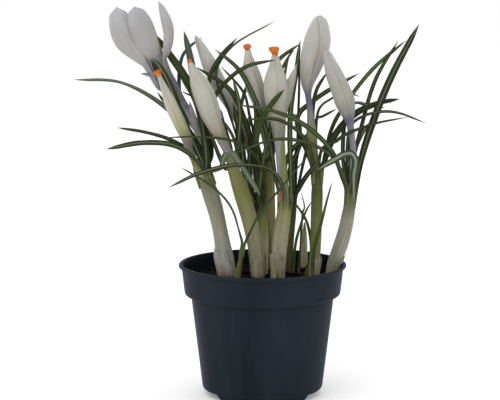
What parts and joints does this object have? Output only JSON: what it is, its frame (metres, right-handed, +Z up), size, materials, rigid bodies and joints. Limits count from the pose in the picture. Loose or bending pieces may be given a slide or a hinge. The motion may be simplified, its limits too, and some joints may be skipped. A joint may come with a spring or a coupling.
{
  "type": "potted crocus",
  "caption": "Clump of pale crocus shoots with narrow leaves, furled buds and one opening flower, growing from soil in a thin round plastic nursery pot.",
  "frame": {"origin": "on the pot's axis, at the flat underside it stands on", "axes": "+Z up along the pot's axis; the clump is spread along X and its pictured side looks towards -Y"},
  "size_m": [0.1875, 0.09, 0.211],
  "materials": {
    "pot": "satin",
    "soil": "matte",
    "sheath": "matte",
    "tepal": "satin",
    "stigma": "matte",
    "leaf": "satin"
  },
  "bodies": {
    "root": {"pot": "pot", "soil": "soil", "flower_edge": "tepal", "flower_front": "tepal", "flower_left_front": "tepal", "flower_middle_back": "tepal", "flower_middle_front": "tepal", "flower_open_cup": "tepal", "flower_open_tepal_back": "tepal", "flower_open_tepal_left": "tepal", "flower_open_tepal_middle": "tepal", "flower_open_tepal_right": "tepal", "flower_right": "tepal", "flower_tall": "tepal", "leaf_back_1": "leaf", "leaf_edge_1": "leaf", "leaf_edge_2": "leaf", "leaf_edge_3": "leaf", "leaf_edge_4": "leaf", "leaf_edge_5": "leaf", "leaf_edge_6": "leaf", "leaf_front_1": "leaf", "leaf_front_2": "leaf", "leaf_front_3": "leaf", "leaf_inner_1": "leaf", "leaf_inner_2": "leaf", "leaf_left_1": "leaf", "leaf_left_2": "leaf", "leaf_left_3": "leaf", "leaf_left_4": "leaf", "leaf_left_5": "leaf", "leaf_left_6": "leaf", "leaf_left_7": "leaf", "leaf_left_8": "leaf", "leaf_middle_1": "leaf", "leaf_middle_2": "leaf", "leaf_middle_3": "leaf", "leaf_right_1": "leaf", "leaf_right_2": "leaf", "leaf_right_3": "leaf", "leaf_right_4": "leaf", "leaf_small_1": "leaf", "leaf_small_2": "leaf", "leaf_tall_1": "leaf", "leaf_tall_2": "leaf", "sheath_back": "sheath", "sheath_edge": "sheath", "sheath_front": "sheath", "sheath_inner": "sheath", "sheath_left": "sheath", "sheath_left_inner": "sheath", "sheath_middle": "sheath", "sheath_right": "sheath", "sheath_small": "sheath", "sheath_tall": "sheath", "sprout": "sheath", "stigma_front": "stigma", "stigma_left_front": "stigma", "stigma_middle_front": "stigma", "stigma_tall": "stigma"}
  },
  "joints": []
}
